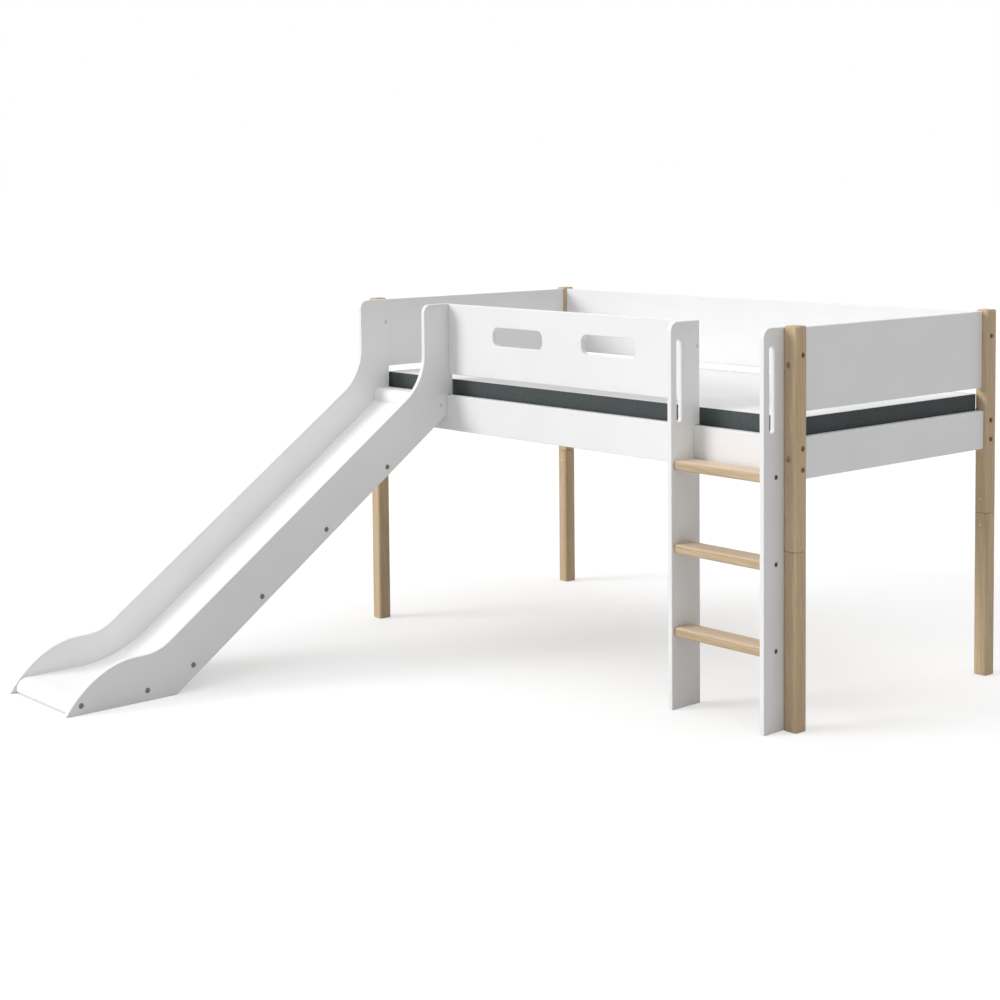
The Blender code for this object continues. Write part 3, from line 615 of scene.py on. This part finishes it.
GRIP_ROUND = 0.01125
GRIP_IN = 0.036
GRIP_DROP = 0.053
GRIP_LENGTH = 0.257
HEAD_ROUND = 0.030
NOTCH_PLAY = 0.0003
SIDE_ROUND = 0.0025
RUNG_PITCH = 0.259
RUNG_THICK = 0.029
RUNG_ROUND = 0.007
RUNG_END_EASE = 0.0008
RUNG_SCREW_Y = 0.2187
RUNG_PALE = (0.655, 0.500, 0.330)
RUNG_BROWN = (0.395, 0.272, 0.160)
SCREW_GAP = 0.0004
SCREW_SUNK = 0.0030
RUNG_SCREW = 0.0073
LADDER_CAP = (0.2800, 1.1237)
screw_seats = []
cap_seats = []


def panel_screw(side, place, outward, head):
    """Bores a side for a panel screw, and keeps the screw's place and size for later."""
    bore(side, place, outward, head + SCREW_GAP, SCREW_SUNK)
    screw_seats.append((Vector(place), Vector(outward), head))


low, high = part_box("ladder_side_left")
rail_low, rail_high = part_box("rail_front")
notch_y = rail_low.y - NOTCH_PLAY
notch_z = rail_low.z - NOTCH_PLAY, rail_high.z + NOTCH_PLAY
outline = [
    (low.y, low.z, 0),
    (high.y, low.z, 0),
    (high.y, notch_z[0], 0),
    (notch_y, notch_z[0], 0),
    (notch_y, notch_z[1], 0),
    (high.y, notch_z[1], 0),
    (high.y, high.z, 0),
    (low.y, high.z, HEAD_ROUND),
]
y0, y1 = low.y + GRIP_IN - GRIP_ROUND, low.y + GRIP_IN + GRIP_ROUND
z0, z1 = high.z - GRIP_DROP - GRIP_LENGTH, high.z - GRIP_DROP
grip_bend = GRIP_ROUND * 0.999  # two quarter turns that stop just short of each other
grip = [(y, z, grip_bend) for y, z in ((y0, z0), (y0, z1), (y1, z1), (y1, z0))]
for name, outward in (("ladder_side_left", -1), ("ladder_side_right", 1)):
    low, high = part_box(name)
    middle_x = (low.x + high.x) / 2
    side = sawn(f"white_{name}", [outline, grip], high.x - low.x, SIDE_ROUND, "X", middle_x)
    outer_x, inner_x = (low.x, high.x) if outward < 0 else (high.x, low.x)
    for rung in (1, 2, 3):
        place = (outer_x, RUNG_SCREW_Y, rung * RUNG_PITCH - RUNG_THICK / 2)
        panel_screw(side, place, (outward, 0, 0), RUNG_SCREW)
    if outward < 0:
        cap_seats.append((Vector((inner_x, *LADDER_CAP)), Vector((1, 0, 0))))
    set_down(side, white_lacquer, "white_lacquer", name)

# the rungs get painted light on their tops: a paler colour painted on the faces that point up
rung_oak = wood("rung_oak", 0, RUNG_PALE, RUNG_BROWN, (0.7, 2.9, 0.2), fine=0.9, painted_top_light=0.42)
for rung in (1, 2, 3):
    step = block(f"oak_rung_{rung}", *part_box(f"rung_{rung}"))
    round_over(0, RUNG_ROUND, (RUNG_END_EASE, RUNG_END_EASE), 5)
    set_down(step, rung_oak, "rung_oak", f"rung_{rung}")

# The slide: two white sides cut to a long sweep, hooked over the front rail, and a bent
# white sheet between them with a rounded nosing at its top and a lip at its foot.

HUMP = 0.1485
HUMP_ROUND = 0.165
THROAT_ROUND = 0.195
SIDE_DEPTH = 0.159
NECK_FROM_TIP = 1.415
HEEL_FROM_TIP = 0.389
TIP_ROUNDED = 0.0025
TIP_KNOT = (0.0256, 0.0636)
TIP_PULL = (0.157, 0.390)
NOSE_PULL = 0.516
NOSE_GAP = 0.022
BED_DEPTH = 0.045
BED_DROP = 0.014
BED_THICK = 0.010
BED_FOOT = 0.0475
BED_BEND = 0.450
LIP_BEND = 0.040
NOSING_ROUND = 0.028
SHEET_ROUND = 0.0008
BATTEN_SCREW = 0.0086
BATTEN_SCREW_SEATS = (
    (-0.0059, 0.6458),
    (-0.2682, 0.4597),
    (-0.5314, 0.2689),
    (-0.7983, 0.0862),
    (-0.9668, 0.0337),
    (-1.1989, 0.0287),
)
RAIL_CAP = (0.2372, 0.8432)
GUARD_CAP = (0.2776, 1.1190)

low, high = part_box("slide_side_right")
neck_y = low.y + NECK_FROM_TIP
heel_y = low.y + HEEL_FROM_TIP
stop_y = rail_low.y - NOTCH_PLAY
run, climb = rail_low.y - heel_y, rail_high.z - BED_DROP
slope = math.acos(BED_DEPTH / math.hypot(run, climb)) - math.atan2(run, climb)
rise = math.tan(slope)


def over(y, above):
    """Height at y of the line square-on above the sides' straight undersides."""
    return (y - heel_y) * rise + above / math.cos(slope)


hump_end = heel_y + (HUMP - SIDE_DEPTH / math.cos(slope)) / rise
nose_top = hump_end - HUMP_ROUND * math.tan(slope / 2) - NOSE_GAP
tip_y = low.y - TIP_ROUNDED
nose = nose_top - tip_y


def on_nose(along, up):
    """A point of the upturned nose, as shares of its length and of its height."""
    return tip_y + along * nose, up * HUMP


outline = [
    (nose_top, HUMP, None, on_nose(NOSE_PULL, 1)),
    (*on_nose(*TIP_KNOT), on_nose(*TIP_PULL), None),
    (tip_y, 0, 0),
    (heel_y, 0, 0),
    (stop_y, over(stop_y, 0), 0),
    (stop_y, notch_z[1], 0),
    (high.y, notch_z[1], 0),
    (high.y, high.z, 0),
    (neck_y, high.z, HEAD_ROUND),
    (neck_y, over(neck_y, SIDE_DEPTH), THROAT_ROUND),
    (hump_end, HUMP, HUMP_ROUND),
]
for name, outward in (("slide_side_left", -1), ("slide_side_right", 1)):
    low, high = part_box(name)
    middle_x = (low.x + high.x) / 2
    side = sawn(f"white_{name}", [outline], high.x - low.x, SIDE_ROUND, "X", middle_x)
    outer_x, inner_x = (low.x, high.x) if outward < 0 else (high.x, low.x)
    for y, z in BATTEN_SCREW_SEATS:
        panel_screw(side, (outer_x, y, z), (outward, 0, 0), BATTEN_SCREW)
    cap_seats.append((Vector((outer_x, *RAIL_CAP)), Vector((outward, 0, 0))))
    cap_seats.append((Vector((inner_x, *GUARD_CAP)), Vector((-outward, 0, 0))))
    set_down(side, white_lacquer, "white_lacquer", name)


def offset_line(points, depth):
    """The same bent line, a sheet's thickness further down."""
    moved = []
    for index, (u, v) in enumerate(points):
        here = Vector((u, v))
        ways = []
        if index > 0:
            ways.append((here - Vector(points[index - 1])).normalized())
        if index < len(points) - 1:
            ways.append((Vector(points[index + 1]) - here).normalized())
        normals = [Vector((-way.y, way.x)) for way in ways]
        middle = sum(normals, Vector((0, 0))).normalized()
        moved.append(here + middle * (depth / middle.dot(normals[0])))
    return moved


bed_low, bed_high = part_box("slide_bed")
top_y = stop_y - BED_THICK * math.sin(slope)
bend_y = heel_y + (BED_FOOT - BED_DEPTH / math.cos(slope)) / rise
lip_y = bed_low.y
top_z = over(top_y, BED_DEPTH)
line = [(top_y, top_z), (bend_y, BED_FOOT), (lip_y, BED_FOOT), (lip_y, bed_low.z)]
under = offset_line(line, BED_THICK)
bends = (0, BED_BEND, LIP_BEND, 0)
under_bends = (0, BED_BEND + BED_THICK, LIP_BEND - BED_THICK, 0)
upper = [(u, v, radius) for (u, v), radius in zip(line, bends)]
lower = [(u, v, radius) for (u, v), radius in zip(under, under_bends)]
width, middle_x = bed_high.x - bed_low.x, (bed_low.x + bed_high.x) / 2
bed = sawn("white_slide_bed", [upper + lower[::-1]], width, SHEET_ROUND, "X", middle_x)
# painted light: the sheet and the nosing get a paler copy of the white lacquer, so that the shade
# along the far side comes out white
slide_lacquer_painted_light = lacquer("slide_lacquer_painted_light", (0.945, 0.946, 0.947), 0.30)
set_down(bed, slide_lacquer_painted_light, "white_lacquer", "slide_bed")

low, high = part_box("slide_nosing")
clear = BED_DEPTH + NOTCH_PLAY
outline = [
    (low.y, over(low.y, clear), 0),
    (low.y, high.z, NOSING_ROUND),
    (high.y, high.z, 0),
    (high.y, over(high.y, clear), 0),
]
width, middle_x = high.x - low.x, (low.x + high.x) / 2
nosing = sawn("white_slide_nosing", [outline], width, SHEET_ROUND, "X", middle_x)
set_down(nosing, slide_lacquer_painted_light, "white_lacquer", "slide_nosing")

# The panel screws through the white sides, into the rungs and the slide's battens: dark
# plated steel with a six-sided socket, driven flush with the lacquered face.

SCREW_HEIGHT = 0.0026
SCREW_SOCKET = 0.0030
SCREW_SHANK = 0.0020
SCREW_LENGTH = 0.0300
SCREW_FLUSH = 0.0002

dark_steel = metal("dark_steel", (0.150, 0.150, 0.154), (0.34, 0.34, 0.35), 0.30)
screws = {}
for head in (RUNG_SCREW, BATTEN_SCREW):
    screws[head] = fastener(head, SCREW_HEIGHT, SCREW_SOCKET, SCREW_SHANK, SCREW_LENGTH)
for number, (place, outward, head) in enumerate(screw_seats):
    name = f"panel_screw_{number + 1:02d}"
    seat = place - outward * SCREW_FLUSH
    drive(screws[head], name, seat, outward, dark_steel, "dark_bronze")
for master in screws.values():
    bpy.data.objects.remove(master)

# The cover caps: white plastic, domed with a dimple, pressed over the screws that hold
# the sides to the rail and the guard.

CAP_RADIUS = 0.0066
CAP_HEIGHT = 0.0012
CAP_PROUD = 0.0002
CAP_EDGE = 0.0006
CAP_STEPS = ((0.0016, 0.0002), (0.0014, 0.0001), (0.0004, -0.0008), (0.0012, -0.0003))

bpy.ops.object.select_all(action="DESELECT")
bpy.ops.mesh.primitive_cylinder_add(
    vertices=32, radius=CAP_RADIUS, depth=CAP_HEIGHT, location=(0, 0, CAP_PROUD)
)
first_cap = bpy.context.object
bpy.ops.object.transform_apply()
bpy.ops.object.mode_set(mode="EDIT")
pick("edges", lambda edge: all(vert.co.z > 0 for vert in edge.verts))
bpy.ops.mesh.bevel(offset=CAP_EDGE, segments=3, affect="EDGES")
pick("faces", lambda face: face.normal.z > 0.99)
for inward, lift in CAP_STEPS:
    bpy.ops.mesh.inset(thickness=inward)
    bpy.ops.transform.translate(value=(0, 0, lift))
bpy.ops.object.mode_set(mode="OBJECT")
cap_plastic = lacquer("cap_plastic", (0.700, 0.702, 0.700), 0.42)
for number, (place, outward) in enumerate(cap_seats):
    drive(first_cap, f"cover_cap_{number + 1}", place, outward, cap_plastic, "white_lacquer")
bpy.data.objects.remove(first_cap)

# The mattress: a firm foam core in a two-coloured cover. Its border is slate-grey knit and
# its top and bottom are white knit, sewn together with a slate piping in each seam.

MATTRESS_CORNER = 0.007
MATTRESS_EDGE = 0.0045
CELL_ACROSS = 0.0125
CELL_UP = 0.016
CROWN_ROOM = 0.0012
SEAM_IN = 0.0016
CROWN = 0.0042
PUCKER = 0.00055
HOLLOW = 0.0007
WAIST = 0.0022
RIPPLE = 0.0006

low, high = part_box("mattress")
core_high = Vector((high.x, high.y, high.z - CROWN_ROOM))
top_seam, bottom_seam = core_high.z - SEAM_IN, low.z + SEAM_IN
mattress = block("knit_mattress", low, core_high)
pick("edges", lambda edge: abs(edge.verts[0].co.z - edge.verts[1].co.z) > 0.001)
bpy.ops.mesh.bevel(offset=MATTRESS_CORNER, segments=6, affect="EDGES")
pick("edges", lambda edge: abs(edge.verts[0].co.z - edge.verts[1].co.z) < 0.0001)
bpy.ops.mesh.bevel(offset=MATTRESS_EDGE, segments=4, affect="EDGES")
for axis, step in ((0, CELL_ACROSS), (1, CELL_ACROSS), (2, CELL_UP)):
    cuts = round((core_high[axis] - low[axis]) / step)
    for number in range(1, cuts):
        place, normal = Vector(low), Vector((0, 0, 0))
        place[axis] += (core_high[axis] - low[axis]) * number / cuts
        normal[axis] = 1
        bpy.ops.mesh.select_all(action="SELECT")
        bpy.ops.mesh.bisect(plane_co=place, plane_no=normal)
bpy.ops.object.mode_set(mode="OBJECT")
middle, half = (low + core_high) / 2, (core_high - low) / 2
for vert in mattress.data.vertices:
    x, y, z = vert.co - middle
    to_edge = min(half.x - abs(x), half.y - abs(y))
    if z > half.z - 0.006:
        # the top cover swells from its seam, is drawn into small puckers there, and lies
        # a little unevenly on the foam
        swell = 1 - math.exp(-max(to_edge, 0) / 0.055)
        along = y if half.x - abs(x) < half.y - abs(y) else x
        pucker = math.sin(along * 148 + 2.1 * math.sin(along * 31)) * math.exp(-to_edge / 0.022)
        pucker *= 1 - math.exp(-max(to_edge - 0.003, 0) / 0.006)
        wave = math.sin(x * 6.3 + 0.7) * math.sin(y * 8.1 + x * 1.7)
        vert.co.z += CROWN * swell - PUCKER * pucker + HOLLOW * wave * swell
    elif abs(z) < half.z - 0.004:
        # the border is drawn in between its two seams, but not at the corners
        on_end, on_long = half.x - abs(x) < 0.004, half.y - abs(y) < 0.004
        along = half.y - abs(y) if on_end else half.x - abs(x)
        slack = math.cos(z / half.z * math.pi / 2) * (1 - math.exp(-max(along, 0) / 0.06))
        drawn = WAIST * slack
        soft = RIPPLE * math.sin(x * 23 + y * 19) * slack
        if on_end:
            vert.co.x -= math.copysign(drawn + soft, x)
        if on_long:
            vert.co.y -= math.copysign(drawn + soft, y)

knit, shader, wires = start_finish("knit_cover")
place = wires.node("ShaderNodeTexCoord", {}, {}, "Object")
height = wires.node("ShaderNodeSeparateXYZ", {}, {0: place}, "Z")
above_seam = height.between(top_seam, top_seam + 0.0004)
below_seam = 1 - height.between(bottom_seam - 0.0004, bottom_seam)
panel = above_seam + below_seam
stitch = wires.node("ShaderNodeTexVoronoi", {"feature": "F1"}, {"Vector": place, "Scale": 520.0})
melange = wires.node("ShaderNodeTexNoise", {}, {"Vector": place, "Scale": 170.0, "Detail": 4.0})
cloud = wires.node("ShaderNodeTexNoise", {}, {"Vector": place, "Scale": 7.0, "Detail": 2.0})
slate = melange.between(0.35, 0.68).choose((0.062, 0.073, 0.073, 1), (0.080, 0.092, 0.092, 1))
slate = (cloud.between(0.3, 0.75) * 0.5).choose(slate, (0.062, 0.073, 0.075, 1))
shade = (melange * 0.5 + cloud * 0.5).between(0.3, 0.7)
white = shade.choose((0.820, 0.821, 0.817, 1), (0.790, 0.792, 0.789, 1))
relief = stitch * 0.6 + melange * 0.4
bump = raised(wires, relief, 0.5, 0.0006)
plug(shader, Base_Color=panel.choose(slate, white), Roughness=0.86, Normal=bump)
plug(shader, Sheen_Weight=0.10, Sheen_Roughness=0.5, Specular_IOR_Level=0.25)
set_down(mattress, knit, "mattress_fabric", "mattress", body="mattress", angle=60)

PIPING_RADIUS = 0.0020
PIPING_IN = 0.0017

piping, shader, wires = start_finish("slate_piping")
place = wires.node("ShaderNodeTexCoord", {}, {}, "Object")
weave = wires.node("ShaderNodeTexNoise", {}, {"Vector": place, "Scale": 600.0, "Detail": 3.0})
tint = weave.between(0.3, 0.7).choose((0.076, 0.088, 0.088, 1), (0.058, 0.067, 0.068, 1))
bump = raised(wires, weave, 0.4, 0.0004)
plug(shader, Base_Color=tint, Roughness=0.8, Normal=bump)
for name, seam in (("upper", top_seam), ("lower", bottom_seam)):
    curve = bpy.data.curves.new(f"mattress_piping_{name}", "CURVE")
    curve.dimensions = "2D"
    curve.bevel_depth = PIPING_RADIUS
    curve.bevel_resolution = 3
    curve.fill_mode = "NONE"
    x0, x1 = low.x + PIPING_IN, high.x - PIPING_IN
    y0, y1 = low.y + PIPING_IN, high.y - PIPING_IN
    corner_round = MATTRESS_CORNER - PIPING_IN
    ring = [(x, y, corner_round) for x, y in ((x0, y0), (x1, y0), (x1, y1), (x0, y1))]
    draw(curve, ring)
    cord = bpy.data.objects.new(f"mattress_piping_{name}", curve)
    bpy.context.scene.collection.objects.link(cord)
    bpy.ops.object.select_all(action="DESELECT")
    bpy.context.view_layer.objects.active = cord
    cord.select_set(True)
    bpy.ops.object.convert(target="MESH")
    cord.location.z = seam
    set_down(cord, piping, "mattress_fabric", body="mattress", angle=60)
